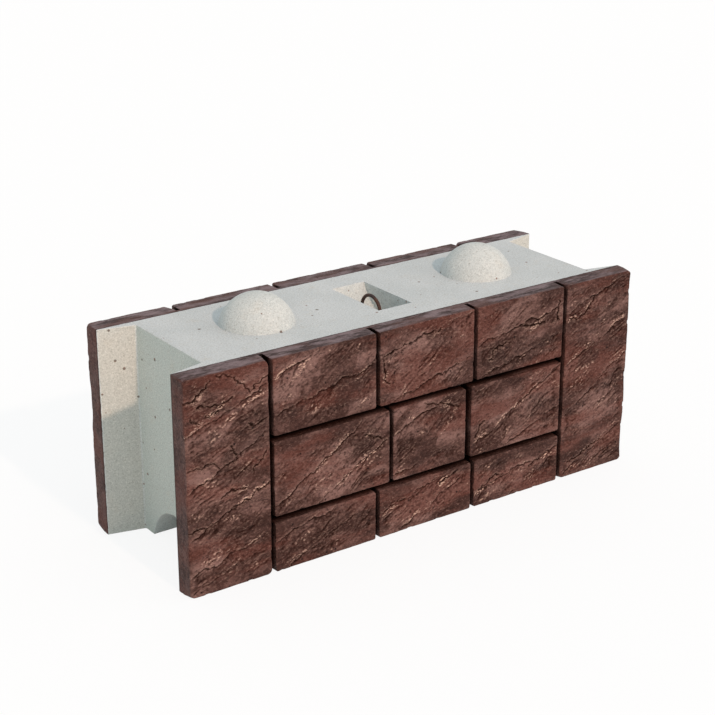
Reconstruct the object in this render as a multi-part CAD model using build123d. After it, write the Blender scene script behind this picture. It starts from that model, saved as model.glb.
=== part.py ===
from build123d import *
import os

# Precast concrete wall block for straight and curved free-standing walls.
# It stands on z = 0, with its length along X and its front face towards -Y.
# The block is one casting. A steel lifting loop is cast into a pocket in its top.
# All sizes are in millimetres.

# Overall size, without the knobs
LENGTH = 1200.0
WIDTH = 410.0
HEIGHT = 480.0

# Wings: both faces run past the core at each end, so that blocks can turn against each other
WING_LENGTH = 83.0
WING_TIP = 50.0
WING_ROOT = 70.0
WING_CORNER_R = 4.0

# Stone pattern moulded into both faces
JOINT_DEPTH = 40.0
UPRIGHT_JOINT = 10.5
WIDE_JOINT = 15.5
BED_JOINT = 14.0
END_STONE = 197.5
BOTTOM_ROW = 114.0
MIDDLE_ROW = 169.0
MIDDLE_STONE = 202.0
MIDDLE_SHIFT = 14.0
OUTER_ROW_SHIFT = 4.0
STONE_EDGE = 2.5

# Split-stone relief: ledges rise from left to right across each stone. Each cuts deepest under its upper line
# and runs out below it. A ledge is the share of the stone's height at which its line crosses the middle, and
# its rise in degrees.
LEDGE_DEPTH = 5.0
LEDGE_RUN = 75.0
LEFT_END_LEDGES = [(0.16, 15), (0.36, 23), (0.58, 27), (0.81, 22)]
RIGHT_END_LEDGES = [(0.12, 25), (0.46, 33), (0.68, 26), (0.92, 18)]
BOTTOM_ROW_LEDGES = [[(0.40, 24), (0.86, 12)], [(0.34, 24), (0.78, 15)], [(0.14, 25), (0.55, 12)]]
MIDDLE_ROW_LEDGES = [[(0.18, 29), (0.66, 33)], [(0.25, 16), (0.84, 22)], [(0.12, 20), (0.55, 28)]]
TOP_ROW_LEDGES = [[(0.45, 14), (0.98, 20)], [(0.20, 16), (0.80, 12)], [(0.22, 14), (0.62, 10)]]

# Knobs on top, and the groove underneath that drops over the knobs of the course below
KNOB_R = 85.0
KNOB_SINK = 18.0
KNOB_SPACING = 600.0
KNOB_CLEARANCE = 15.0

# Scooped lifting pocket
POCKET_LENGTH = 90.0
POCKET_WIDTH = 180.0
POCKET_DEPTH = 60.0

# Lifting loop of round bar: its radius is to the middle of the bar
BAR_D = 8.0
LOOP_R = 35.0
CROWN_PROUD = 4.0
LEG_EMBED = 240.0

# Cuts reach this far past the surface that they cut
CUT_MARGIN = 5.0

# Coordinates closer than this count as equal when edges are picked
SAME = 1e-6

# Worked out from the sizes above
TIP_Y = WIDTH / 2 - WING_TIP
ROOT_Y = WIDTH / 2 - WING_ROOT
CORE_X = LENGTH / 2 - WING_LENGTH
END_JOINT_X = LENGTH / 2 - END_STONE - UPRIGHT_JOINT / 2
LOWER_BED_Z = BOTTOM_ROW + BED_JOINT / 2
UPPER_BED_Z = LOWER_BED_Z + MIDDLE_ROW + BED_JOINT
CROWN_CENTRE_Z = HEIGHT + CROWN_PROUD - BAR_D / 2 - LOOP_R
LEG_END_Z = HEIGHT - POCKET_DEPTH - LEG_EMBED


def plan_outline():
    """Plan of the block: a core, with a tapering wing behind each end of both faces."""
    quarter = [
        (LENGTH / 2, WIDTH / 2),
        (LENGTH / 2, TIP_Y),
        (CORE_X, ROOT_Y),
    ]
    right_end = quarter + [(x, -y) for x, y in reversed(quarter)]
    left_end = [(-x, -y) for x, y in right_end]
    return right_end + left_end


def stone_rows():
    """Rows between the end stones: lower and upper limits, upright joints as (middle, width), and ledges."""
    # The top and bottom rows have three stones of about the same length between the end stones
    outer_joints = [(OUTER_ROW_SHIFT + END_JOINT_X * share, UPRIGHT_JOINT) for share in (-1 / 3, 1 / 3)]
    middle_reach = (MIDDLE_STONE + UPRIGHT_JOINT) / 2
    middle_joints = [(MIDDLE_SHIFT - middle_reach, UPRIGHT_JOINT), (MIDDLE_SHIFT + middle_reach, WIDE_JOINT)]
    return [
        (-CUT_MARGIN, LOWER_BED_Z, outer_joints, BOTTOM_ROW_LEDGES),
        (LOWER_BED_Z, UPPER_BED_Z, middle_joints, MIDDLE_ROW_LEDGES),
        (UPPER_BED_Z, HEIGHT + CUT_MARGIN, outer_joints, TOP_ROW_LEDGES),
    ]


def joint_network():
    """Joints between the stones of one face, drawn with X along the face and Y up."""
    with BuildSketch() as joints:
        with Locations((-END_JOINT_X, HEIGHT / 2), (END_JOINT_X, HEIGHT / 2)):
            Rectangle(UPRIGHT_JOINT, HEIGHT)
        with Locations((0, LOWER_BED_Z), (0, UPPER_BED_Z)):
            Rectangle(2 * END_JOINT_X, BED_JOINT)
        for low, high, upright_joints, ledges in stone_rows():
            for x, width in upright_joints:
                with Locations((x, (low + high) / 2)):
                    Rectangle(width, high - low)
    return joints.sketch


def ledged_stones():
    """Stones of one face: limits (left, right, low, high), in the joints or past the block, and ledges."""
    outer_x = LENGTH / 2 + CUT_MARGIN
    yield (-outer_x, -END_JOINT_X, -CUT_MARGIN, HEIGHT + CUT_MARGIN), LEFT_END_LEDGES
    yield (END_JOINT_X, outer_x, -CUT_MARGIN, HEIGHT + CUT_MARGIN), RIGHT_END_LEDGES
    for low, high, upright_joints, row_ledges in stone_rows():
        sides = [-END_JOINT_X, *(x for x, width in upright_joints), END_JOINT_X]
        for left, right, ledges in zip(sides, sides[1:], row_ledges):
            yield (left, right, low, high), ledges


def ledge_cuts():
    """Wedges that cut the ledges of one face, drawn with X along the face, Y up and Z outwards."""
    run_out = LEDGE_RUN * (1 + CUT_MARGIN / LEDGE_DEPTH)
    section = Plane.YZ * Polygon((0, -LEDGE_DEPTH), (0, CUT_MARGIN), (-run_out, CUT_MARGIN), align=None)
    wedge = extrude(section, amount=HEIGHT + END_STONE, both=True)
    for (left, right, low, high), ledges in ledged_stones():
        middle_x = (left + right) / 2
        stone = Pos(middle_x, (low + high) / 2) * Box(right - left, high - low, 4 * LEDGE_DEPTH)
        for share, rise in ledges:
            yield stone & (Pos(middle_x, low + share * (high - low)) * Rot(0, 0, rise) * wedge)


def lifting_loop():
    """U of round bar in the Y-Z plane, with long straight legs that the concrete grips."""
    with BuildPart() as loop:
        with BuildLine(Plane.YZ) as path:
            Line((LOOP_R, LEG_END_Z), (LOOP_R, CROWN_CENTRE_Z))
            CenterArc((0, CROWN_CENTRE_Z), LOOP_R, 0, 180)
            Line((-LOOP_R, CROWN_CENTRE_Z), (-LOOP_R, LEG_END_Z))
        with BuildSketch(Plane(origin=(0, LOOP_R, LEG_END_Z), z_dir=(0, 0, 1))):
            Circle(BAR_D / 2)
        sweep(path=path.wire())
    return loop.part


def wall_block(loop):
    """The casting: core, wings, stone-pattern faces, knobs, groove and pocket, round the loop's legs."""
    front = Plane(origin=(0, -WIDTH / 2, 0), x_dir=(1, 0, 0), z_dir=(0, -1, 0))
    back = Plane(origin=(0, WIDTH / 2, 0), x_dir=(-1, 0, 0), z_dir=(0, 1, 0))
    pocket_r = (POCKET_WIDTH ** 2 / 4 + POCKET_DEPTH ** 2) / (2 * POCKET_DEPTH)
    cuts = list(ledge_cuts())
    with BuildPart() as block:
        with BuildSketch():
            Polygon(*plan_outline(), align=None)
        extrude(amount=HEIGHT)
        inner_corners = [
            edge
            for edge in block.edges().filter_by(Axis.Z)
            if abs(abs(edge.center().X) - CORE_X) < SAME
        ]
        fillet(inner_corners, WING_CORNER_R)
        for face_plane in (front, back):
            with BuildSketch(face_plane):
                add(joint_network())
            extrude(amount=-JOINT_DEPTH, mode=Mode.SUBTRACT)
        stone_edges = [
            edge
            for edge in block.edges()
            if all(abs(abs(vertex.Y) - WIDTH / 2) < SAME for vertex in edge.vertices())
        ]
        chamfer(stone_edges, STONE_EDGE)
        for face_plane in (front, back):
            add([face_plane.location * cut for cut in cuts], mode=Mode.SUBTRACT)
        knob_z = HEIGHT - KNOB_SINK
        with Locations((-KNOB_SPACING / 2, 0, knob_z), (KNOB_SPACING / 2, 0, knob_z)):
            Sphere(KNOB_R)
        with Locations(Location((0, 0, -KNOB_SINK), (0, 90, 0))):
            Cylinder(KNOB_R + KNOB_CLEARANCE, LENGTH, mode=Mode.SUBTRACT)
        with Locations(Location((0, 0, HEIGHT - POCKET_DEPTH + pocket_r), (0, 90, 0))):
            Cylinder(pocket_r, POCKET_LENGTH, mode=Mode.SUBTRACT)
        add(loop, mode=Mode.SUBTRACT)
    return block.part


loop_part = lifting_loop()
parts = {
    "wall_block": wall_block(loop_part),
    "lifting_loop": loop_part,
}

os.makedirs("parts", exist_ok=True)
for name, shape in parts.items():
    export_step(shape, f"parts/{name}.step")
    box = shape.bounding_box()
    print(name, "volume", round(shape.volume / 1e6, 3), "litres, size", box.size)
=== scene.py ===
import itertools
import math

import bmesh
import bpy
import numpy as np
from mathutils import Matrix, Vector
from mathutils.bvhtree import BVHTree


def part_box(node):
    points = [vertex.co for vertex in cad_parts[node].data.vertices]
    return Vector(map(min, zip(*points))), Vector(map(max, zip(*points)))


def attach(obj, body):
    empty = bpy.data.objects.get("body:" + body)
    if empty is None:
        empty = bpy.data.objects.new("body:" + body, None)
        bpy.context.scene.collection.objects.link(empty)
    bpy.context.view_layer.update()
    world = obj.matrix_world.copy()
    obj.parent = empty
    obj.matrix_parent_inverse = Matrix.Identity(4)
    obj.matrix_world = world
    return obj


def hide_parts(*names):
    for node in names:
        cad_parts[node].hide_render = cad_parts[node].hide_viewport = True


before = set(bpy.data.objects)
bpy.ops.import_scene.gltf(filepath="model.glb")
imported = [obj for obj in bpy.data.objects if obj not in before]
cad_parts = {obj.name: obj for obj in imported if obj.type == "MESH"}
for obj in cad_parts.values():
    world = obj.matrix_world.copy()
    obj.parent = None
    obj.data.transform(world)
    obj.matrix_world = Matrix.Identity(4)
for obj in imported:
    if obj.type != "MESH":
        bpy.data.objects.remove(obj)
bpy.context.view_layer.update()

# Dresses a cast concrete wall block: grey concrete with air holes, brown stone faces, a rusty loop.
# All sizes are in metres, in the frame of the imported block.

MM = 0.001
BLOCK_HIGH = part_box("wall_block")[1]
TIP_X = BLOCK_HIGH.x
FACE_Y = BLOCK_HIGH.y
TOP_Z = 480 * MM

# A point this close to an outer limit of the block lies on it
NEAR = 1.0 * MM

# Stones moulded into the faces
JOINT_DEPTH = 40 * MM
GRID_STEP = 2.0 * MM
WALL_STEP = 7 * MM
EDGE_ROUND = 1.2 * MM
EDGE_WANDER = 0.4 * MM
TIP_WANDER = 0.9 * MM
EDGE_REACH = 12 * MM
EDGE_LUMP = 34 * MM
EDGE_FINE_LUMP = 9 * MM
CHIP = 2.0 * MM
CHIP_REACH = 9 * MM
CHIP_LUMP = 26 * MM
CORNER_ROUND = 4 * MM
END_CORNER_ROUND = 11 * MM
CORNER_REACH = 30 * MM
TIP_ROUND_LEAST = 2 * MM
TIP_ROUND_MOST = 9 * MM
TIP_LUMP = 120 * MM
RIM_FADE = 22 * MM
STONE_SEAT = 1.5 * MM
STONE_SHARP_ANGLE = math.radians(55)
ROW_MARGIN = 10 * MM

# Noise: each stone has a seed of its own, with room for so many kinds, and a kind repeats after so many cells
FRONT_SEED = 11
BACK_SEED = 61
NOISES_PER_STONE = 100
NOISE_CELLS = 256

# Split rock: the ledges of the CAD block, made ragged, with finer relief along beds that rise
# from left to right
BEDDING_TILT = math.radians(31)
BEDDING_SPREAD = math.radians(8)
BED_WAVE = 10 * MM
BED_RIPPLE = 3 * MM
LEDGE_INSET = 4 * MM
LEDGE_WANDER = 9 * MM
SWELL = 2.0 * MM
PLANE = 5.0 * MM
PLATE = 0.7 * MM
STRIATION = 0.65 * MM
CRACK = 3.6 * MM
CRACK_WIDTH = 2.0 * MM
CRACK_WANDER = 4 * MM
CREASE = 0.45 * MM
CREASE_SHARE = 0.12
CRUMB = 0.85 * MM
CRUMB_REACH = 9 * MM
CRUMB_WANDER = 5 * MM
SPOT_WANDER = 14 * MM
GRAIN = 0.34 * MM
SHALLOWEST = 0.3 * MM
FLATTENING = 0.8 * MM
DEEPEST = 12 * MM

# The main cracks and crumbled bands of a face, and its dark and pale spots, listed one by one: X along the
# face and Z up, in millimetres. A spot's third number is half its width.
CRACKS = (
    ((-520, 472), (-500, 470), (-481, 462), (-466, 443), (-444, 425), (-398, 453)),
    ((-600, 430), (-570, 438), (-535, 465)),
    ((-570, 418), (-540, 412), (-525, 415), (-500, 410), (-485, 420)),
    ((-585, 395), (-570, 380), (-540, 395), (-520, 400)),
    ((-452, 353), (-435, 350), (-410, 355)),
    ((-495, 315), (-485, 295), (-470, 290)),
    ((-445, 240), (-440, 255), (-410, 285)),
    ((-596, 288), (-536, 287), (-522, 276)),
    ((-520, 207), (-500, 214), (-490, 218), (-460, 215)),
    ((-115, 424), (-57, 438), (0, 449), (38, 455)),
    ((-163, 255), (-140, 243), (-118, 238), (-97, 247)),
    ((0, 292), (38, 280), (62, 271), (95, 261)),
    ((262, 411), (290, 405), (337, 407)),
    ((142, 170), (150, 188), (168, 206)),
    ((-600, 150), (-569, 152), (-556, 146), (-537, 152), (-525, 161), (-500, 174), (-450, 190), (-406, 211)),
    ((-494, 304), (-481, 296), (-478, 284), (-490, 278)),
    ((-119, 420), (-113, 400), (-106, 385), (-112, 370), (-100, 362)),
    ((178, 350), (190, 368), (212, 378), (235, 380)),
    ((378, 452), (381, 430), (379, 405)),
    ((145, 30), (175, 50), (206, 65), (243, 55), (256, 65)),
    ((306, 60), (325, 73), (337, 68), (362, 82)),
    ((44, 86), (62, 96), (94, 102)),
    ((428, 33), (462, 45), (500, 62), (525, 73)),
    ((412, 398), (440, 393), (462, 402), (480, 418)),
)
CRUMBLED_BANDS = (
    ((-597, 358), (-506, 414)),
    ((-519, 364), (-403, 424)),
    ((-591, 64), (-506, 86)),
    ((-475, 186), (-403, 221)),
    ((-597, 274), (-569, 264)),
    ((-387, 436), (-337, 461)),
    ((-325, 449), (-250, 472)),
    ((-194, 321), (-137, 352)),
    ((-287, 208), (-212, 267)),
    ((-287, 167), (-250, 192)),
    ((-231, 158), (-100, 230)),
    ((-75, 239), (-34, 264)),
    ((144, 164), (212, 202)),
    ((212, 199), (325, 255)),
    ((187, 217), (237, 255)),
    ((-119, 49), (-81, 64)),
    ((-44, 21), (12, 49)),
    ((37, 80), (62, 99)),
    ((150, 30), (212, 49)),
    ((350, 67), (391, 83)),
    ((456, 314), (506, 346)),
    ((544, 358), (584, 377)),
    ((437, 261), (500, 277)),
    ((487, 155), (550, 177)),
    ((437, 17), (487, 33)),
)
DARK_SPOTS = (
    (-444, 336, 45),
    (-481, 299, 25),
    (-537, 339, 22),
    (-200, 386, 40),
    (-150, 405, 25),
    (-350, 355, 25),
    (194, 346, 30),
    (275, 346, 35),
    (-162, 230, 30),
    (56, 242, 28),
    (-37, 146, 25),
    (325, 217, 25),
    (206, 80, 20),
    (475, 292, 25),
    (562, 455, 30),
    (475, 49, 30),
)
PALE_SPOTS = (
    (-340, 420, 55),
    (-40, 400, 50),
    (260, 440, 45),
    (-230, 165, 40),
    (-365, 250, 30),
    (-35, 235, 40),
    (270, 160, 45),
    (330, 215, 40),
    (0, 50, 45),
    (240, 40, 40),
    (-430, 180, 40),
    (-560, 70, 35),
    (-575, 255, 30),
    (500, 160, 40),
    (510, 360, 35),
    (560, 210, 30),
    (200, 235, 35),
    (60, 195, 25),
)

# Marks on the points of a stone, which its finish reads, with the grid steps and depths behind them. Rise,
# crevice, crest, tone and joint carry painted light and shade.
STONE_MARKS = ("rise", "crevice", "crest", "crumb", "dusk", "tone", "wall", "joint")
FINE_STEPS = 2
FINE_HOLLOW = 0.8 * MM
FINE_CREST = 0.5 * MM
WIDE_STEPS = 6
WIDE_HOLLOW = 5 * MM
JOINT_SHADE_START = 3 * MM
JOINT_SHADE_FULL = 24 * MM

# How far the wall mark goes at the wing tips, where 1 is the greyer top and bottom of a stone
TIP_WALL = 0.15

# Casting behind the stones: its edges, and where its wings, end faces, pocket and knobs are looked for
BODY_GAP = 0.1 * MM
CONCRETE_EDGE = 2.0 * MM
SHARP_ANGLE = math.radians(40)
LEVEL_ANGLE = math.radians(1)
FLAT_WIDTH = 15 * MM
FACING = 0.9
WING_START = 520 * MM
END_FACE = 510 * MM
POCKET_REACH = 50 * MM
KNOB_X = 300 * MM
KNOB_REACH = 90 * MM
WELD = 0.01 * MM

# Stain on the outer part of the casting: a dark line along its limit that fades out, and the skin of the tips
STAIN_DEPTH = 50 * MM
STAIN_WANDER = 0.8 * MM
STAIN_EDGE = 0.6 * MM
STAIN_LINE = 2.0 * MM
STAIN_LINE_END = 4.5 * MM
TIP_STAIN = 0.5 * MM
TIP_STAIN_END = 1.5 * MM

# Depths over which the trowelled top turns to formed concrete
TROWELLED = 0.3 * MM
FORMED = 1.0 * MM

# Camera at the photograph's angle
CAMERA_AZIMUTH = math.radians(-35.55)
CAMERA_ELEVATION = math.radians(21.0)
CAMERA_DISTANCE = 3.756
CAMERA_TARGET = Vector((-0.0372, 0.0, 0.341))
CAMERA_LENS = 84.4
CAMERA_SENSOR = 36.0

# Light: a warm key from the front and above, and a pale cool surround
KEY_ELEVATION = math.radians(33)
KEY_AZIMUTH = math.radians(1.5)
KEY_STRENGTH = 1.6
KEY_COLOUR = (1.0, 0.71, 0.56)
KEY_ANGLE = math.radians(2.5)
SURROUND_COLOUR = (0.93, 1.0, 1.02)
SURROUND_STRENGTH = 0.735
SURROUND_SLOPE = (0.2, -0.22, 0.0)
FLOOR_SIZE = 60.0
FLOOR_COLOUR = (0.92, 0.9, 0.87)
FLOOR_SHADOW = 0.13


def lattice_noise(points, period, seed):
    """Smooth noise of about -1 to 1 at each row of points; period is the size of its lumps on each axis."""
    source = np.random.default_rng(seed)
    shuffle = source.permutation(NOISE_CELLS)
    slopes = source.normal(size=(NOISE_CELLS, points.shape[1]))
    slopes /= np.linalg.norm(slopes, axis=1, keepdims=True)
    place = points / np.asarray(period)
    cell = np.floor(place).astype(int)
    inside = place - cell
    fade = inside ** 3 * (inside * (inside * 6 - 15) + 10)
    total = np.zeros(len(points))
    for corner in itertools.product((0, 1), repeat=points.shape[1]):
        key = np.zeros(len(points), int)
        for axis, step in enumerate(corner):
            key = shuffle[(key + cell[:, axis] + step) % NOISE_CELLS]
        share = np.prod(np.where(corner, fade, 1 - fade), axis=1)
        total += share * ((inside - corner) * slopes[key]).sum(axis=1)
    return total * 1.5


def soft_step(value, low, high):
    """0 below low, 1 above high, and a smooth rise between."""
    share = np.clip((value - low) / (high - low), 0, 1)
    return share * share * (3 - 2 * share)


def distance_to(points, line):
    """Distance of each point from a line of straight stretches."""
    nearest = np.full(len(points), np.inf)
    for start, end in zip(line, line[1:]):
        start, stretch = np.array(start), np.subtract(end, start)
        share = np.clip((points - start) @ stretch / (stretch @ stretch), 0, 1)
        gap = points - start - share[:, None] * stretch
        nearest = np.minimum(nearest, np.hypot(gap[:, 0], gap[:, 1]))
    return nearest


class RockBeds:
    """Split rock of one stone: noise that lies along its beds, at points of its face."""

    def __init__(self, x, z, seed):
        self.first_noise = seed * NOISES_PER_STONE
        self.points = np.stack((x, z), axis=1)
        tilt = BEDDING_TILT + np.random.default_rng(seed).uniform(-1, 1) * BEDDING_SPREAD
        along = x * math.cos(tilt) + z * math.sin(tilt)
        across = z * math.cos(tilt) - x * math.sin(tilt)
        self.beds = np.stack((along, across), axis=1)
        self.beds[:, 1] += BED_WAVE * self.noise(110, 70, 1) + BED_RIPPLE * self.noise(30, 20, 2)

    def noise(self, lump_along, lump_across, kind):
        """Noise in lumps of so many millimetres along and across the beds. Each kind is another noise."""
        return lattice_noise(self.beds, (lump_along * MM, lump_across * MM), self.first_noise + kind)

    def fading(self, lump_along, lump_across, kind, low, high):
        """Patches that rise from 0 to 1 where their noise goes from low to high."""
        return soft_step(self.noise(lump_along, lump_across, kind), low, high)

    def crease(self, lump_along, lump_across, kind):
        """Thin lines of 1, where their noise is close to 0."""
        nearness = 1 - np.abs(self.noise(lump_along, lump_across, kind)) / CREASE_SHARE
        return np.clip(nearness, 0, 1) ** 2

    def ragged(self, reach, fineness=0.4):
        """The points of the face, each moved a little, so that a straight line read there is ragged."""
        shift = np.stack((self.noise(40, 40, 3), self.noise(40, 40, 4)), axis=1)
        fine_shift = np.stack((self.noise(12, 12, 5), self.noise(12, 12, 6)), axis=1)
        return self.points + reach * (shift + fineness * fine_shift)

    def broken_planes(self, length, height, kind):
        """Tilted scoops with sharp ridges between them, one to a cell along the beds: depth, and a tone for
        each scoop that is painted on it as light and shade.
        """
        source = np.random.default_rng(self.first_noise + kind)
        shuffle = source.permutation(NOISE_CELLS)
        middle = source.uniform(0.1, 0.9, (NOISE_CELLS, 2))
        tilt = source.uniform(-0.7, 0.7, (NOISE_CELLS, 2))
        lift = source.uniform(0, 0.6, NOISE_CELLS)
        # A tone for each scoop: painted light and shade on its plane
        tone = source.uniform(0, 1, NOISE_CELLS)
        place = self.beds / (length * MM, height * MM)
        cell = np.floor(place).astype(int)
        depth, found = np.full(len(place), -np.inf), np.zeros(len(place))
        for step in itertools.product((-1, 0, 1), repeat=2):
            key = shuffle[(cell[:, 0] + step[0]) % NOISE_CELLS]
            key = shuffle[(key + cell[:, 1] + step[1]) % NOISE_CELLS]
            gap = place - cell - step - middle[key]
            plane = lift[key] + (gap * tilt[key]).sum(axis=1) - 0.8 * (gap ** 2).sum(axis=1)
            found = np.where(plane > depth, tone[key], found)
            depth = np.maximum(depth, plane)
        return depth - 0.4, found

    def crumbled(self):
        """1 in the crumbled bands, fading to 0 outside."""
        points = self.ragged(CRUMB_WANDER)
        nearest = np.min([distance_to(points, np.multiply(line, MM)) for line in CRUMBLED_BANDS], axis=0)
        placed = soft_step(-nearest / CRUMB_REACH, -1.0, -0.2) * self.fading(26, 16, 7, -0.5, 0.1)
        loose = 0.45 * self.fading(60, 22, 8, 0.3, 0.55)
        return np.maximum(placed, loose)

    def in_spots(self, spots):
        """1 in spots that are long along the beds, fading to 0 outside."""
        points = self.ragged(SPOT_WANDER) / MM
        share = np.full(len(points), -1.0)
        for middle_x, middle_z, reach in spots:
            gap_x, gap_z = points[:, 0] - middle_x, points[:, 1] - middle_z
            along = gap_x * math.cos(BEDDING_TILT) + gap_z * math.sin(BEDDING_TILT)
            across = gap_z * math.cos(BEDDING_TILT) - gap_x * math.sin(BEDDING_TILT)
            share = np.maximum(share, 1 - np.hypot(0.65 * along, across) / reach)
        return soft_step(share + 0.3 * self.noise(16, 10, 9), -0.1, 0.5)

    def depth(self, ledges, crumbled):
        """Depth behind the outermost plane of the face, the tone of its planes as painted light and shade,
        and its crack lines.
        """
        planes, tone = self.broken_planes(100, 42, 25)
        small_planes, small_plane_shading = self.broken_planes(40, 17, 26)
        points = self.ragged(CRACK_WANDER, fineness=1.2)
        cracks = np.min([distance_to(points, np.multiply(line, MM)) for line in CRACKS], axis=0)
        creases = self.crease(95, 42, 10) * self.fading(90, 60, 11, 0.1, 0.4)
        creases += 0.6 * self.crease(40, 16, 12) * self.fading(60, 36, 13, 0.15, 0.5)
        depth = ledges * (0.35 + 0.65 * self.fading(90, 60, 14, -0.3, 0.3))
        depth += SWELL * (0.6 * self.noise(140, 90, 15) + 0.4 * self.noise(60, 36, 16))
        depth += PLATE * (self.noise(30, 14, 17) + 0.5 * self.noise(15, 8, 18))
        depth += STRIATION * self.noise(80, 5.5, 19) * (0.4 + self.fading(80, 40, 20, 0.0, 0.4))
        depth += PLANE * (planes - 0.3 * small_planes * self.fading(90, 50, 27, -0.2, 0.3))
        crack_line = np.exp(-((cracks / CRACK_WIDTH) ** 2)) * self.fading(30, 30, 28, -0.9, -0.3)
        depth += CRACK * crack_line
        depth += CREASE * creases
        depth -= CRUMB * crumbled * (self.noise(13, 5, 21) + 0.8 * self.noise(7, 4.2, 22))
        depth += GRAIN * (self.noise(9, 6, 23) + self.noise(5, 4.2, 24))
        return depth, 0.6 * tone + 0.4 * small_plane_shading, crack_line


def box_blur(field, reach):
    """Mean of a grid of values over a square that reaches so many steps each way."""
    for axis in (0, 1):
        padding = [(0, 0), (0, 0)]
        padding[axis] = (reach + 1, reach)
        total = np.cumsum(np.pad(field, padding, mode="edge"), axis=axis)
        size = field.shape[axis]
        upper = np.take(total, np.arange(2 * reach + 1, 2 * reach + 1 + size), axis=axis)
        lower = np.take(total, np.arange(size), axis=axis)
        field = (upper - lower) / (2 * reach + 1)
    return field


def islands(bm):
    """Groups of vertices that hang together."""
    waiting = set(bm.verts)
    while waiting:
        group = [waiting.pop()]
        for vertex in group:
            for edge in vertex.link_edges:
                other = edge.other_vert(vertex)
                if other in waiting:
                    waiting.remove(other)
                    group.append(other)
        yield group


def block_copy():
    """A welded copy of the CAD block's mesh, to cut."""
    bm = bmesh.new()
    bm.from_mesh(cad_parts["wall_block"].data)
    bmesh.ops.remove_doubles(bm, verts=bm.verts, dist=WELD)
    return bm


def cut_away(bm, y, outwards):
    """Removes what lies past the plane at y on the side that outwards points to; gives the cut's edges."""
    everything = bm.verts[:] + bm.edges[:] + bm.faces[:]
    cut = bmesh.ops.bisect_plane(
        bm, geom=everything, plane_co=(0, y, 0), plane_no=(0, outwards, 0), clear_outer=True
    )
    return [part for part in cut["geom_cut"] if isinstance(part, bmesh.types.BMEdge)]


def stone_outlines(side):
    """(left, right, bottom, top) of each stone on one face, from a slice through the CAD block's joints."""
    bm = block_copy()
    cut_away(bm, side * (FACE_Y - JOINT_DEPTH / 2), -side)
    outlines = []
    for group in islands(bm):
        xs = [vertex.co.x for vertex in group]
        zs = [vertex.co.z for vertex in group]
        outlines.append((min(xs), max(xs), min(zs), max(zs)))
    bm.free()
    return sorted(outlines, key=lambda box: (round(box[2], 3), box[0]))


def is_end_stone(box):
    """The end stones are as high as the block, and no other stone is half as high."""
    return box[3] - box[2] > TOP_Z / 2


def rounded_corner(x, z, box, radius):
    """Moves points near a corner of the box so that the corner is an arc, and gives their depth inside it."""
    left, right, bottom, top = box
    middle_x, middle_z = (left + right) / 2, (bottom + top) / 2
    out_x, out_z = np.sign(x - middle_x), np.sign(z - middle_z)
    past_x = np.maximum(np.abs(x - middle_x) - (right - left) / 2 + radius, 0)
    past_z = np.maximum(np.abs(z - middle_z) - (top - bottom) / 2 + radius, 0)
    reach = np.hypot(past_x, past_z)
    pull = np.where(reach > 0, np.maximum(past_x, past_z) / np.maximum(reach, 1e-12), 1)
    x = x - out_x * past_x * (1 - pull)
    z = z - out_z * past_z * (1 - pull)
    straight = np.minimum.reduce((x - left, right - x, z - bottom, top - z))
    in_corner = (past_x > 0) & (past_z > 0)
    inside = np.where(in_corner, radius - np.maximum(past_x, past_z), straight)
    return x, z, np.maximum(inside, 0)


def stone_mesh(bm, box, side):
    """Adds one stone to bm: a fine grid for its face, with walls from its rim to the bottom of the joint."""
    left, right, bottom, top = box
    start = len(bm.verts)
    columns = max(2, round((right - left) / GRID_STEP))
    rows = max(2, round((top - bottom) / GRID_STEP))
    grid = bmesh.ops.create_grid(bm, x_segments=columns, y_segments=rows, size=0.5)["verts"]
    bmesh.ops.scale(bm, verts=grid, vec=(right - left, top - bottom, 1))
    bmesh.ops.rotate(bm, verts=grid, cent=(0, 0, 0), matrix=Matrix.Rotation(math.pi / 2, 3, "X"))
    middle = ((left + right) / 2, side * FACE_Y, (bottom + top) / 2)
    bmesh.ops.translate(bm, verts=grid, vec=middle)
    rim = list(dict.fromkeys(edge for vertex in grid for edge in vertex.link_edges if edge.is_boundary))
    face_count = len(grid)
    steps = round((JOINT_DEPTH - EDGE_ROUND) / WALL_STEP)
    back = JOINT_DEPTH + STONE_SEAT
    for step in range(1, steps + 1):
        depth = EDGE_ROUND + (back - EDGE_ROUND) * step / steps
        pulled = bmesh.ops.extrude_edge_only(bm, edges=rim)["geom"]
        ring = [part for part in pulled if isinstance(part, bmesh.types.BMVert)]
        rim = [part for part in pulled if isinstance(part, bmesh.types.BMEdge) and part.is_boundary]
        for vertex in ring:
            vertex.co.y = side * (FACE_Y - depth)
    bmesh.ops.edgeloop_fill(bm, edges=rim)
    return start, face_count, columns, rows


def ledge_depth(surface, points, box, side):
    """Depth of the CAD face at points of one stone, read a little inside the stone's rounded rim."""
    left, right, bottom, top = box
    xs = np.clip(points[:, 0], left + LEDGE_INSET, right - LEDGE_INSET)
    zs = np.clip(points[:, 1], bottom + LEDGE_INSET, top - LEDGE_INSET)
    inwards = Vector((0, -side, 0))
    start_y = side * (FACE_Y + JOINT_DEPTH)
    hits = [surface.ray_cast(Vector((x, start_y, z)), inwards)[0] for x, z in zip(xs, zs)]
    return FACE_Y - np.array([abs(hit.y) for hit in hits])


def worn_back(position, depth, most, noise):
    """How far an edge of a stone is worn back at each position along it."""
    line = np.stack((position, depth * 0.3), axis=1)
    slow = lattice_noise(line, EDGE_LUMP, noise)
    fast = lattice_noise(line, EDGE_FINE_LUMP, noise + 1)
    return most * np.clip(0.7 + slow + 0.3 * fast, 0, None)


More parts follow.
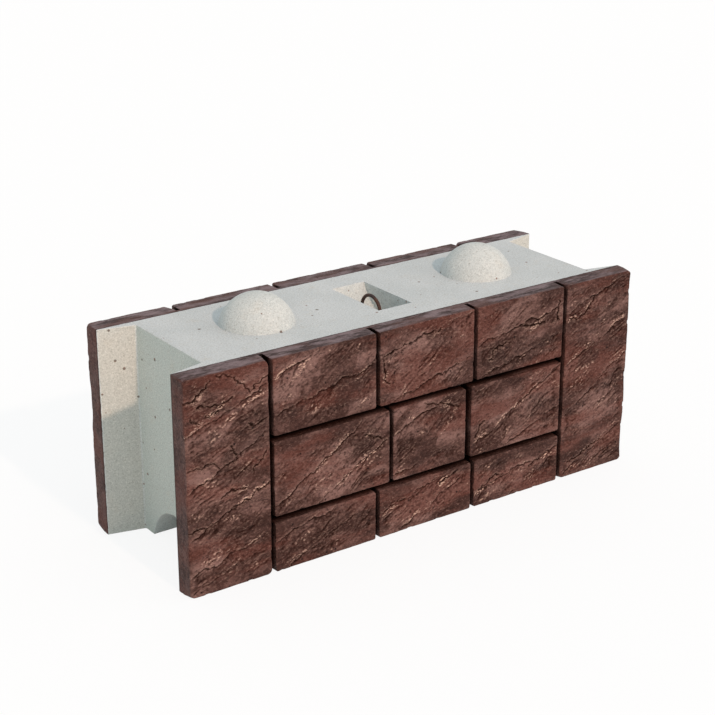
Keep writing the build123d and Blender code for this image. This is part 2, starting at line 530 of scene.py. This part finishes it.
def worn_outline(x, z, inside, depth, box, first_noise):
    """Moves the points of a stone in from its straight edges, less so further inside and behind the face."""
    left, right, bottom, top = box
    left_wander = TIP_WANDER if left < NEAR - TIP_X else EDGE_WANDER
    right_wander = TIP_WANDER if right > TIP_X - NEAR else EDGE_WANDER
    from_left = worn_back(z, depth, left_wander, first_noise + 40) * (x - left < EDGE_REACH)
    from_right = worn_back(z, depth, right_wander, first_noise + 42) * (right - x < EDGE_REACH)
    from_bottom = worn_back(x, depth, EDGE_WANDER, first_noise + 44) * (z - bottom < EDGE_REACH)
    from_top = worn_back(x, depth, EDGE_WANDER, first_noise + 46) * (top - z < EDGE_REACH)
    fade = np.clip(1 - inside / EDGE_REACH, 0, 1) * np.clip(1 - depth / JOINT_DEPTH, 0, 1)
    return x + (from_left - from_right) * fade, z + (from_bottom - from_top) * fade


def rounded_edge(radius, distance):
    """Depth of a rounded edge at a distance in from its outer limit."""
    gap = radius - np.minimum(distance, radius)
    return radius - np.sqrt(radius ** 2 - gap ** 2)


def rim_depth(points, from_rim, first_noise):
    """Depth that rounding and chips add along the rim of a stone's face, and at the tips of the wings."""
    chipped = soft_step(lattice_noise(points, CHIP_LUMP, first_noise + 50), 0.35, 0.6)
    chips = CHIP * chipped * np.clip(1 - from_rim / CHIP_REACH, 0, 1)
    tip_line = np.stack((points[:, 1], np.zeros(len(points))), axis=1)
    tip_share = soft_step(lattice_noise(tip_line, TIP_LUMP, first_noise + 52), -0.2, 0.5)
    tip_radius = TIP_ROUND_LEAST + (TIP_ROUND_MOST - TIP_ROUND_LEAST) * tip_share
    tip_rounding = rounded_edge(tip_radius, TIP_X - np.abs(points[:, 0]))
    return np.maximum(rounded_edge(EDGE_ROUND, from_rim), tip_rounding) + chips


def hollow_marks(depth_grid, crack_line):
    """Marks for what stands out and what lies back on a stone's face, from a grid of its depths: painted
    shade for hollows and cracks, painted light for raised ground and painted highlights for crests.
    """
    fine_hollow = (depth_grid - box_blur(depth_grid, FINE_STEPS)).ravel()
    wide_hollow = (depth_grid - box_blur(depth_grid, WIDE_STEPS)).ravel()
    hollow = fine_hollow / FINE_HOLLOW + wide_hollow / WIDE_HOLLOW + 0.5 * crack_line
    return {
        "rise": np.clip(0.5 - wide_hollow / WIDE_HOLLOW, 0, 1),
        "crevice": np.clip(hollow, 0, 1),
        "crest": np.clip(-fine_hollow / FINE_CREST - 0.15, 0, 1),
    }


def shape_stone(places, box, side, seed, face_count, columns, rows, surface):
    """Moves one stone's points from a plain block to split rock; gives the marks that its finish reads."""
    first_noise = seed * NOISES_PER_STONE
    x, z = places[:, 0].copy(), places[:, 2].copy()
    depth = FACE_Y - np.abs(places[:, 1])
    at_tip = np.abs(x) > TIP_X - NEAR
    outside = at_tip | (z < NEAR) | (z > TOP_Z - NEAR)
    on_face = np.arange(len(x)) < face_count
    radius = END_CORNER_ROUND if is_end_stone(box) else CORNER_ROUND
    x, z, inside = rounded_corner(x, z, box, radius * np.clip(1 - depth / CORNER_REACH, 0.05, 1))
    x, z = worn_outline(x, z, inside, depth, box, first_noise)

    rock = RockBeds(side * -x[:face_count], z[:face_count], seed)
    ledge_points = rock.ragged(LEDGE_WANDER)
    ledge_points[:, 0] *= -side
    crumbled = rock.crumbled()
    relief, tone, crack_line = rock.depth(ledge_depth(surface, ledge_points, box, side), crumbled)
    relief = FLATTENING * np.logaddexp(0, (relief - np.quantile(relief, 0.2)) / FLATTENING)
    from_rim = inside[:face_count]
    relief *= 0.25 + 0.75 * soft_step(from_rim, 0, RIM_FADE)
    rock_depth = SHALLOWEST + np.minimum(relief, DEEPEST)
    depth[:face_count] = rock_depth + rim_depth(rock.points, from_rim, first_noise)

    face_marks = hollow_marks(rock_depth.reshape(rows + 1, columns + 1), crack_line)
    face_marks["crumb"] = crumbled
    face_marks["dusk"] = rock.in_spots(DARK_SPOTS)
    # Tone: painted light and shade of the broken planes, with pale spots
    face_marks["tone"] = 0.8 * tone + 0.5 * rock.in_spots(PALE_SPOTS)
    marks = {mark: np.zeros(len(x)) for mark in STONE_MARKS}
    marks["rise"][face_count:] = 0.5
    marks["tone"][face_count:] = 0.5
    for mark, values in face_marks.items():
        marks[mark][:face_count] = values
    marks["wall"][~on_face] = np.where(at_tip, TIP_WALL, outside)[~on_face]
    # Painted shade in the joints, darker further in
    shade = soft_step(depth, JOINT_SHADE_START, JOINT_SHADE_FULL)
    marks["joint"] = np.where(on_face | outside, 0.0, shade)

    places[:, 0] = x
    places[:, 1] = side * (FACE_Y - depth)
    places[:, 2] = z
    return marks


def put_in_scene(name, data):
    """A new object in the scene, with the data given."""
    made = bpy.data.objects.new(name, data)
    bpy.context.scene.collection.objects.link(made)
    return made


def stones_piece(name, boxes, side, first_seed, surface):
    """One piece with the stones of a row: each is gridded, walled and then shaped."""
    bm = bmesh.new()
    spans = []
    for box in boxes:
        start, face_count, columns, rows = stone_mesh(bm, box, side)
        spans.append((start, len(bm.verts), box, face_count, columns, rows))
    bmesh.ops.recalc_face_normals(bm, faces=bm.faces)
    mesh = bpy.data.meshes.new(name)
    bm.to_mesh(mesh)
    bm.free()
    places = np.zeros(len(mesh.vertices) * 3)
    mesh.vertices.foreach_get("co", places)
    places = places.reshape(-1, 3)
    marks = {mark: np.zeros(len(places)) for mark in STONE_MARKS}
    for number, (start, end, box, face_count, columns, rows) in enumerate(spans):
        stone = places[start:end].copy()
        found = shape_stone(stone, box, side, first_seed + number, face_count, columns, rows, surface)
        places[start:end] = stone
        for mark, values in found.items():
            marks[mark][start:end] = values
    mesh.vertices.foreach_set("co", places.ravel())
    for mark, values in marks.items():
        mesh.attributes.new(mark, "FLOAT", "POINT").data.foreach_set("value", values)
    mesh.polygons.foreach_set("use_smooth", np.ones(len(mesh.polygons), bool))
    mesh.set_sharp_from_angle(angle=STONE_SHARP_ANGLE)
    mesh.update()
    return put_in_scene(name, mesh)


def concrete_body():
    """The casting behind the stones: the CAD block cut off at the bottom of the joints, with eased edges."""
    bm = block_copy()
    joint_mark = bm.faces.layers.float.new("joint")
    wing_mark = bm.faces.layers.float.new("wing")
    end_shade_mark = bm.faces.layers.float.new("end")
    cut_y = FACE_Y - JOINT_DEPTH - BODY_GAP
    for side in (-1, 1):
        rim = cut_away(bm, side * cut_y, side)
        # The joint bottoms are marked for painted shade
        for face in bmesh.ops.edgeloop_fill(bm, edges=rim)["faces"]:
            face[joint_mark] = 1.0
    bmesh.ops.dissolve_limit(bm, angle_limit=LEVEL_ANGLE, verts=bm.verts, edges=bm.edges)

    def eased(edge):
        middle = (edge.verts[0].co + edge.verts[1].co) / 2
        at_pocket = abs(middle.x) < POCKET_REACH and middle.z > TOP_Z / 2
        at_knob = math.hypot(abs(middle.x) - KNOB_X, middle.y) < KNOB_REACH and middle.z > TOP_Z / 2
        at_stones = max(abs(vertex.co.y) for vertex in edge.verts) > cut_y - NEAR
        return edge.calc_face_angle(0) > SHARP_ANGLE and not (at_pocket or at_knob or at_stones)

    edges = [edge for edge in bm.edges if eased(edge)]
    bmesh.ops.bevel(
        bm, geom=edges, offset=CONCRETE_EDGE, segments=3, profile=0.5, affect="EDGES", material=-1
    )
    bmesh.ops.recalc_face_normals(bm, faces=bm.faces)
    for face in bm.faces:
        from_middle = abs(face.calc_center_median().x)
        mean_width = 2 * face.calc_area() / face.calc_perimeter()
        face[wing_mark] = abs(face.normal.y) > FACING and from_middle > WING_START
        # End faces, marked for painted shade
        face[end_shade_mark] = abs(face.normal.x) > FACING and from_middle > END_FACE
        face.smooth = mean_width < FLAT_WIDTH
    for edge in bm.edges:
        edge.smooth = edge.calc_face_angle(0) < SHARP_ANGLE
    mesh = bpy.data.meshes.new("concrete_body")
    bm.to_mesh(mesh)
    bm.free()
    mesh.attributes.remove(mesh.attributes["custom_normal"])
    return put_in_scene("concrete_body", mesh)


class Wiring:
    """Adds nodes to one shader tree. Its calls take sockets or plain values; most give an output socket."""

    def __init__(self, tree):
        self.tree = tree

    def feed(self, socket, value):
        if isinstance(value, bpy.types.NodeSocket):
            self.tree.links.new(value, socket)
        else:
            socket.default_value = value

    def node(self, kind, inputs=None, **settings):
        made = self.tree.nodes.new(kind)
        for setting, value in settings.items():
            setattr(made, setting, value)
        for key, value in (inputs or {}).items():
            self.feed(made.inputs[key], value)
        return made

    def calculate(self, operation, first, second=0.0):
        return self.node("ShaderNodeMath", {0: first, 1: second}, operation=operation).outputs[0]

    def times(self, first, second):
        return self.calculate("MULTIPLY", first, second)

    def fit(self, value, low, high, new_low=0.0, new_high=1.0):
        """A smooth change from new_low to new_high while the value goes from low to high."""
        inputs = {"Value": value, "From Min": low, "From Max": high, "To Min": new_low, "To Max": new_high}
        return self.node("ShaderNodeMapRange", inputs, interpolation_type="SMOOTHSTEP").outputs[0]

    def mix(self, share, first, second):
        """The first colour where share is 0, the second where it is 1."""
        made = self.node("ShaderNodeMix", data_type="RGBA")
        self.feed(made.inputs["Factor"], share)
        for socket, value in zip((s for s in made.inputs if s.type == "RGBA"), (first, second)):
            self.feed(socket, value)
        return next(s for s in made.outputs if s.type == "RGBA")

    def noise(self, vector, scale, detail, roughness):
        inputs = {"Vector": vector, "Scale": scale, "Detail": detail, "Roughness": roughness}
        return self.node("ShaderNodeTexNoise", inputs).outputs["Fac"]

    def group(self, tree, inputs):
        return self.node("ShaderNodeGroup", inputs, node_tree=tree).outputs

    def attribute(self, name):
        return self.node("ShaderNodeAttribute", attribute_name=name).outputs["Fac"]

    def turned(self, vector, turn, stretch=(1.0, 1.0, 1.0)):
        inputs = {"Vector": vector, "Rotation": turn, "Scale": stretch}
        return self.node("ShaderNodeMapping", inputs).outputs[0]

    def bump(self, height, strength, distance):
        inputs = {"Strength": strength, "Distance": distance, "Height": height}
        return self.node("ShaderNodeBump", inputs).outputs[0]

    def seen_directly(self):
        """1 for what the camera sees, mirrored or through glass too, and 0 for light on its way there."""
        path = self.node("ShaderNodeLightPath").outputs
        direct = self.calculate("MAXIMUM", path["Is Camera Ray"], path["Is Glossy Ray"])
        return self.calculate("MAXIMUM", direct, path["Is Transmission Ray"])


def colour(red, green, blue):
    """A shader colour from the red, green and blue that a screen shows, each 0 to 255."""
    levels = []
    for level in (red, green, blue):
        share = level / 255
        levels.append(share / 12.92 if share <= 0.04045 else ((share + 0.055) / 1.055) ** 2.4)
    return (*levels, 1.0)


WHITE = colour(255, 255, 255)

# Stain on the stones, with painted shade in hollows and joints and painted highlights on crests
DEEP_BROWN = colour(47, 25, 19)
LIGHT_BROWN = colour(106, 77, 71)
DIM_BROWN = colour(53, 28, 22)
PALE_BROWN = colour(133, 102, 96)
RED_BROWN = colour(92, 50, 41)
DUSKY_BROWN = colour(47, 29, 25)
DARK_SPECK = colour(36, 20, 17)
PALE_SPECK = colour(146, 114, 104)
DARK_STREAK = colour(42, 28, 28)
GREY_STREAK = colour(130, 114, 117)
BROWN_STREAK = colour(84, 55, 48)
# Painted shade for hollows and cracks
CREVICE_SHADE = colour(22, 11, 8)
# Painted highlight on crests
GLINT = colour(196, 163, 147)
PIT_BROWN = colour(24, 14, 12)
# Painted shade deep in the joints
JOINT_SHADE_BLACK = colour(10, 5, 4)
JOINT_SHADE_BROWN = colour(34, 18, 14)

# Concrete, with painted shade for the end faces
FORMED_GREY = colour(199, 205, 204)
FORMED_PALE = colour(208, 211, 208)
WING_TINT = colour(196, 190, 176)
END_SHADE = colour(190, 199, 193)
TROWELLED_GREY = colour(193, 199, 201)
TROWELLED_PALE = colour(202, 207, 209)
WARM_PATCH = colour(196, 188, 174)
DARK_GRAIN = colour(154, 153, 146)
PALE_GRAIN = colour(236, 234, 228)
GREY_FLECK = colour(178, 177, 171)
HOLE_GREY = colour(100, 90, 80)
HOLE_RUST = colour(128, 92, 74)
SMALL_HOLE = colour(142, 136, 126)
STAIN_LIMIT = colour(44, 27, 25)

# Rust of the loop
BAR_DARK = colour(58, 46, 44)
BAR_RUST = colour(96, 62, 48)
BAR_FLECK = colour(40, 32, 32)


def new_group(name, inputs, outputs):
    """An empty shader node group with named sockets, its wiring, and its inner input and output nodes."""
    tree = bpy.data.node_groups.new(name, "ShaderNodeTree")
    for socket_name, kind in inputs.items():
        tree.interface.new_socket(socket_name, in_out="INPUT", socket_type=kind)
    for socket_name, kind in outputs.items():
        tree.interface.new_socket(socket_name, in_out="OUTPUT", socket_type=kind)
    given = tree.nodes.new("NodeGroupInput").outputs
    put = tree.nodes.new("NodeGroupOutput").inputs
    return tree, Wiring(tree), given, put


FLOAT, VECTOR, COLOUR = "NodeSocketFloat", "NodeSocketVector", "NodeSocketColor"


def air_hole_group():
    """Small round holes: a mask that is 1 in a hole, from cells of which only some hold one."""
    tree, wire, given, put = new_group(
        "air_holes", {"Place": VECTOR, "Cells": FLOAT, "Share": FLOAT, "Width": FLOAT}, {"Hole": FLOAT}
    )
    cells = wire.node("ShaderNodeTexVoronoi", {"Vector": given["Place"], "Scale": given["Cells"]})
    draw = wire.node("ShaderNodeSeparateColor", {"Color": cells.outputs["Color"]}).outputs
    chosen = wire.calculate("LESS_THAN", draw[0], given["Share"])
    width = wire.times(given["Width"], wire.fit(draw[1], 0.0, 1.0, 0.4, 1.0))
    rim = wire.calculate("DIVIDE", cells.outputs["Distance"], width)
    inside = wire.fit(rim, 1.0, 0.7)
    wire.feed(put["Hole"], wire.times(inside, chosen))
    return tree


def mottle_group():
    """Uneven patches, from 0 to 1, with finer ones inside them."""
    tree, wire, given, put = new_group(
        "mottle", {"Place": VECTOR, "Patches": FLOAT}, {"Patch": FLOAT, "Fleck": FLOAT}
    )
    fleck_scale = wire.times(given["Patches"], 14.0)
    patch = wire.noise(given["Place"], scale=given["Patches"], detail=4.0, roughness=0.6)
    fleck = wire.noise(given["Place"], scale=fleck_scale, detail=3.0, roughness=0.65)
    wire.feed(put["Patch"], wire.fit(patch, 0.32, 0.68))
    wire.feed(put["Fleck"], wire.fit(fleck, 0.3, 0.7))
    return tree


def stone_stain_and_painted_light_group(air_holes):
    """Brown stained split rock, uneven along the beds, with greyer outer walls; painted highlights on crests
    and painted shade in hollows, cracks and joints.
    """
    inputs = {"Place": VECTOR, **{mark.capitalize(): FLOAT for mark in STONE_MARKS}}
    tree, wire, given, put = new_group("stone_stain_and_painted_light", inputs, {"Colour": COLOUR, "Height": FLOAT})

    # X runs to the right on both faces, so that the beds rise to the right on both
    split = wire.node("ShaderNodeSeparateXYZ", {"Vector": given["Place"]}).outputs
    along = wire.times(wire.times(split["X"], wire.calculate("SIGN", split["Y"])), -1.0)
    place = wire.node("ShaderNodeCombineXYZ", {"X": along, "Y": split["Y"], "Z": split["Z"]}).outputs[0]
    tilt = (0, BEDDING_TILT, 0)
    beds = wire.turned(place, tilt, (0.28, 1.0, 1.0))

    # Brown patches, dim and bright, with red and dusky ones
    uneven = wire.noise(beds, scale=26.0, detail=7.0, roughness=0.7)
    # Raised ground painted lighter and hollows darker: painted light and shade
    uneven_with_painted_light = wire.calculate("ADD", uneven, wire.times(given["Rise"], 0.25))
    brown = wire.mix(wire.fit(uneven_with_painted_light, 0.42, 0.8), DEEP_BROWN, LIGHT_BROWN)
    patch = wire.noise(beds, scale=15.0, detail=4.0, roughness=0.55)
    # Each broken plane painted lighter or darker by its tone: painted light and shade
    patch = wire.calculate("ADD", patch, wire.fit(given["Tone"], 0.0, 1.0, -0.12, 0.12))
    on_face = wire.fit(given["Wall"], 0.0, TIP_WALL, 0.8, 0.25)
    brown = wire.mix(wire.times(wire.fit(patch, 0.34, 0.51, 1.0, 0.0), on_face), brown, DIM_BROWN)
    brown = wire.mix(wire.times(wire.fit(patch, 0.49, 0.65), on_face), brown, PALE_BROWN)
    red = wire.noise(beds, scale=14.0, detail=4.0, roughness=0.6)
    brown = wire.mix(wire.fit(red, 0.46, 0.62, 0.0, 0.7), brown, RED_BROWN)
    brown = wire.mix(wire.times(given["Dusk"], 0.55), brown, DUSKY_BROWN)

    # Specks of the grain
    speck = wire.noise(wire.turned(place, tilt, (0.6, 1.0, 1.0)), scale=210.0, detail=4.0, roughness=0.75)
    brown = wire.mix(wire.fit(speck, 0.3, 0.52, 0.85, 0.0), brown, DARK_SPECK)
    brown = wire.mix(wire.fit(speck, 0.52, 0.75, 0.0, 0.6), brown, PALE_SPECK)

    # Streaked top and bottom of the stones
    level = wire.turned(place, (0, 0, 0), (0.3, 1.0, 0.5))
    streak = wire.noise(level, scale=60.0, detail=7.0, roughness=0.72)
    grey = wire.mix(wire.fit(streak, 0.38, 0.62), DARK_STREAK, GREY_STREAK)
    grey = wire.mix(wire.fit(uneven, 0.45, 0.62, 0.0, 0.7), grey, BROWN_STREAK)
    brown = wire.mix(wire.times(given["Wall"], 0.9), brown, grey)

    # Painted shade in hollows and cracks, painted highlights on crests, dark pits, and painted shade deep in
    # the joints
    dark = wire.mix(wire.times(given["Crevice"], 0.85), brown, CREVICE_SHADE)
    # Pale flecks on crests in the crumbled bands: painted highlights
    sparkle = wire.noise(wire.turned(place, tilt, (0.4, 1.0, 1.0)), scale=420.0, detail=2.0, roughness=0.5)
    painted_glint = wire.times(wire.fit(sparkle, 0.45, 0.58), wire.fit(given["Crest"], -0.05, 0.35))
    painted_glint = wire.times(painted_glint, wire.fit(given["Crumb"], 0.0, 0.8, 0.15, 1.0))
    pale = wire.mix(painted_glint, dark, GLINT)
    pits = wire.group(air_holes, {"Place": place, "Cells": 45.0, "Share": 0.25, "Width": 0.13})["Hole"]
    pitted = wire.mix(wire.times(pits, 0.85), pale, PIT_BROWN)
    # Deep in the joints: painted shade, black to brown
    joint = wire.mix(wire.fit(uneven, 0.3, 0.7), JOINT_SHADE_BLACK, JOINT_SHADE_BROWN)
    wire.feed(put["Colour"], wire.mix(given["Joint"], pitted, joint))
    wire.feed(put["Height"], wire.calculate("SUBTRACT", speck, wire.times(pits, 0.8)))
    return tree


def new_material(name):
    """A material with its wiring, its place on the object, and its surface shader."""
    material = bpy.data.materials.new(name)
    material.use_nodes = True
    wire = Wiring(material.node_tree)
    surface = material.node_tree.nodes["Principled BSDF"]
    place = wire.node("ShaderNodeTexCoord").outputs["Object"]
    return material, wire, surface.inputs, place


def stained_stone_with_painted_light(stain_and_painted_light):
    """Finish of the stones: stained split rock with its painted shade and highlights, dull in hollows and
    joints.
    """
    material, wire, surface, place = new_material("stained_stone_with_painted_light")
    marks = {mark.capitalize(): wire.attribute(mark) for mark in STONE_MARKS}
    look = wire.group(stain_and_painted_light, {"Place": place, **marks})
    wire.feed(surface["Base Color"], look["Colour"])
    wire.feed(surface["Roughness"], wire.fit(look["Height"], 0.2, 0.8, 0.72, 0.55))
    wire.feed(surface["Normal"], wire.bump(look["Height"], strength=0.7, distance=1.6 * MM))
    shade = wire.calculate("MAXIMUM", marks["Crevice"], marks["Joint"])
    wire.feed(surface["Specular IOR Level"], wire.fit(shade, 0.0, 0.6, 0.15, 0.02))
    return material


def cast_concrete(mottle, air_holes, stain_and_painted_light):
    """Finish of the casting: mottled grey concrete with air holes, stained where the stones sit, with painted
    shade on the end faces and on the bottoms of the joints.
    """
    material, wire, surface, place = new_material("cast_concrete")
    cloud = wire.group(mottle, {"Place": place, "Patches": 9.0})
    grain = wire.noise(place, scale=300.0, detail=3.0, roughness=0.7)
    split = wire.node("ShaderNodeSeparateXYZ", {"Vector": place}).outputs

    # Formed sides and trowelled top
    formed = wire.mix(cloud["Patch"], FORMED_GREY, FORMED_PALE)
    formed = wire.mix(wire.times(wire.attribute("wing"), 0.4), formed, WING_TINT)
    # End faces painted darker and greener: painted shade
    formed = wire.mix(wire.times(wire.attribute("end"), 0.8), formed, END_SHADE)
    trowelled = wire.mix(cloud["Patch"], TROWELLED_GREY, TROWELLED_PALE)
    from_top = wire.calculate("ABSOLUTE", wire.calculate("SUBTRACT", split["Z"], TOP_Z))
    grey = wire.mix(wire.fit(from_top, TROWELLED, FORMED), trowelled, formed)

    # Warm patches, grain and flecks
    warm = wire.noise(place, scale=17.0, detail=5.0, roughness=0.65)
    grey = wire.mix(wire.fit(warm, 0.56, 0.75, 0.0, 0.35), grey, WARM_PATCH)
    grey = wire.mix(wire.fit(grain, 0.25, 0.5, 0.8, 0.0), grey, DARK_GRAIN)
    grey = wire.mix(wire.fit(grain, 0.5, 0.75, 0.0, 0.75), grey, PALE_GRAIN)
    grey = wire.mix(wire.fit(cloud["Fleck"], 0.1, 0.45, 0.2, 0.0), grey, GREY_FLECK)

    # Air holes, on cells turned askew so that no flat face runs along a row of them
    askew = wire.turned(place, (0.4, 0.7, 0.2))
    share = wire.fit(from_top, TROWELLED, FORMED, 0.2, 0.4)
    holes = wire.group(air_holes, {"Place": askew, "Cells": 45.0, "Share": share, "Width": 0.2})["Hole"]
    small_holes = wire.group(air_holes, {"Place": askew, "Cells": 90.0, "Share": 0.6, "Width": 0.14})["Hole"]
    rusty = wire.mix(wire.fit(cloud["Fleck"], 0.4, 0.6), HOLE_GREY, HOLE_RUST)
    grey = wire.mix(wire.times(holes, 0.85), grey, rusty)
    grey = wire.mix(wire.times(small_holes, 0.6), grey, SMALL_HOLE)

    # Stain on the outer part, with the painted shade of the joints on their bottoms
    from_middle = wire.calculate("ABSOLUTE", split["X"])
    wall = wire.fit(from_middle, TIP_X - TIP_STAIN_END, TIP_X - TIP_STAIN, 1.0, TIP_WALL)
    # The joint bottoms take the painted shade of the joints
    bare = {"Place": place, "Rise": 0.5, "Tone": 0.5, "Wall": wall, "Joint": wire.attribute("joint")}
    stained_and_painted_light_look = wire.group(stain_and_painted_light, bare)
    edge = wire.noise(place, scale=70.0, detail=3.0, roughness=0.6)
    edge = wire.fit(edge, 0.2, 0.8, -STAIN_WANDER, STAIN_WANDER)
    reach = wire.calculate("ADD", wire.calculate("ABSOLUTE", split["Y"]), edge)
    limit = FACE_Y - STAIN_DEPTH + STAIN_WANDER
    stained = wire.fit(reach, limit, limit + STAIN_EDGE)
    line = wire.times(wire.fit(reach, limit + STAIN_LINE, limit + STAIN_LINE_END, 0.75, 0.0), stained)
    brown = wire.mix(line, stained_and_painted_light_look["Colour"], STAIN_LIMIT)

    wire.feed(surface["Base Color"], wire.mix(stained, grey, brown))
    dents = wire.calculate("ADD", wire.times(holes, 3.0), small_holes)
    height = wire.calculate("SUBTRACT", grain, dents)
    wire.feed(surface["Normal"], wire.bump(height, strength=0.35, distance=1.0 * MM))
    wire.feed(surface["Roughness"], wire.fit(cloud["Fleck"], 0.0, 1.0, 0.78, 0.9))
    surface["Specular IOR Level"].default_value = 0.3
    return material


def rusty_bar(mottle):
    """Finish of the loop: dark steel with a brown skin of rust."""
    material, wire, surface, place = new_material("rusty_bar")
    rust = wire.group(mottle, {"Place": place, "Patches": 70.0})
    brown = wire.mix(rust["Patch"], BAR_DARK, BAR_RUST)
    brown = wire.mix(wire.times(rust["Fleck"], 0.4), brown, BAR_FLECK)
    wire.feed(surface["Base Color"], brown)
    wire.feed(surface["Roughness"], wire.fit(rust["Fleck"], 0.0, 1.0, 0.5, 0.8))
    wire.feed(surface["Normal"], wire.bump(rust["Fleck"], strength=0.5, distance=0.4 * MM))
    surface["Metallic"].default_value = 0.4
    return material


def white_floor():
    """A pale floor that shows white to the camera, with the block's shadow kept faint."""
    bm = bmesh.new()
    bmesh.ops.create_grid(bm, x_segments=1, y_segments=1, size=FLOOR_SIZE / 2)
    mesh = bpy.data.meshes.new("floor")
    bm.to_mesh(mesh)
    bm.free()
    floor = put_in_scene("floor", mesh)
    material = bpy.data.materials.new("pale_floor")
    material.use_nodes = True
    tree = material.node_tree
    tree.nodes.clear()
    wire = Wiring(tree)
    direct = wire.seen_directly()
    tone = wire.mix(direct, (*FLOOR_COLOUR, 1), WHITE)
    lit = wire.node("ShaderNodeBsdfDiffuse", {"Color": tone}).outputs[0]
    white = wire.node("ShaderNodeEmission", {"Color": WHITE, "Strength": 1.0}).outputs[0]
    share = wire.times(direct, 1 - FLOOR_SHADOW)
    both = wire.node("ShaderNodeMixShader", {0: share, 1: lit, 2: white}).outputs[0]
    output = tree.nodes.new("ShaderNodeOutputMaterial")
    wire.feed(output.inputs["Surface"], both)
    mesh.materials.append(material)


def direction(azimuth, elevation):
    """Unit vector from the block towards a lamp or the camera."""
    return Vector((
        math.sin(azimuth) * math.cos(elevation),
        -math.cos(azimuth) * math.cos(elevation),
        math.sin(elevation),
    ))


def studio_light():
    """A warm key lamp and a soft, slightly cool surround that the camera sees as white."""
    lamp = bpy.data.lights.new("key", "SUN")
    lamp.energy = KEY_STRENGTH
    lamp.color = KEY_COLOUR
    lamp.angle = KEY_ANGLE
    key = put_in_scene("key", lamp)
    towards = direction(KEY_AZIMUTH, KEY_ELEVATION)
    key.rotation_euler = (-towards).to_track_quat("-Z", "Y").to_euler()
    world = bpy.data.worlds.new("surround")
    world.use_nodes = True
    tree = world.node_tree
    tree.nodes.clear()
    wire = Wiring(tree)
    aim = wire.node("ShaderNodeTexCoord").outputs["Generated"]
    lean = wire.node("ShaderNodeVectorMath", {0: aim, 1: SURROUND_SLOPE}, operation="DOT_PRODUCT")
    slope = wire.calculate("ADD", lean.outputs["Value"], 1.0)
    tint = {"Color": (*SURROUND_COLOUR, 1), "Strength": wire.times(slope, SURROUND_STRENGTH)}
    around = wire.node("ShaderNodeBackground", tint).outputs[0]
    white = wire.node("ShaderNodeBackground", {"Color": WHITE, "Strength": 1.0}).outputs[0]
    both = wire.node("ShaderNodeMixShader", {0: wire.seen_directly(), 1: around, 2: white}).outputs[0]
    output = tree.nodes.new("ShaderNodeOutputWorld")
    wire.feed(output.inputs["Surface"], both)
    bpy.context.scene.world = world


def photo_camera():
    """The camera of the photograph, solved from the block's corners."""
    data = bpy.data.cameras.new("camera")
    data.lens = CAMERA_LENS
    data.sensor_width = CAMERA_SENSOR
    camera = put_in_scene("camera", data)
    back = direction(CAMERA_AZIMUTH, CAMERA_ELEVATION)
    camera.location = CAMERA_TARGET + back * CAMERA_DISTANCE
    camera.rotation_euler = (-back).to_track_quat("-Z", "Y").to_euler()
    bpy.context.scene.camera = camera


def rows_of(boxes):
    """The stones of one face by row."""
    ends = [box for box in boxes if is_end_stone(box)]
    rest = [box for box in boxes if box not in ends]
    bottom = [box for box in rest if box[2] < ROW_MARGIN]
    top = [box for box in rest if box[3] > TOP_Z - ROW_MARGIN]
    middle = [box for box in rest if box not in bottom and box not in top]
    return {"end_stones": ends, "top_row": top, "middle_row": middle, "bottom_row": bottom}


mottle = mottle_group()
air_holes = air_hole_group()
stain_and_painted_light = stone_stain_and_painted_light_group(air_holes)
stone_material = stained_stone_with_painted_light(stain_and_painted_light)
concrete_material = cast_concrete(mottle, air_holes, stain_and_painted_light)

body = concrete_body()
body.data.materials.append(concrete_material)
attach(body, "root")
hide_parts("wall_block")

bm = block_copy()
cad_surface = BVHTree.FromBMesh(bm)
bm.free()
for face_name, side, first_seed in (("front", -1, FRONT_SEED), ("back", 1, BACK_SEED)):
    seed = first_seed
    for row_name, boxes in rows_of(stone_outlines(side)).items():
        piece = stones_piece(f"{face_name}_{row_name}", boxes, side, seed, cad_surface)
        piece.data.materials.append(stone_material)
        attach(piece, "root")
        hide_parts("wall_block")
        seed += len(boxes)

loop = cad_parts["lifting_loop"]
loop.data.materials.clear()
loop.data.materials.append(rusty_bar(mottle))

white_floor()
studio_light()
photo_camera()
bpy.context.scene.view_settings.view_transform = "Standard"
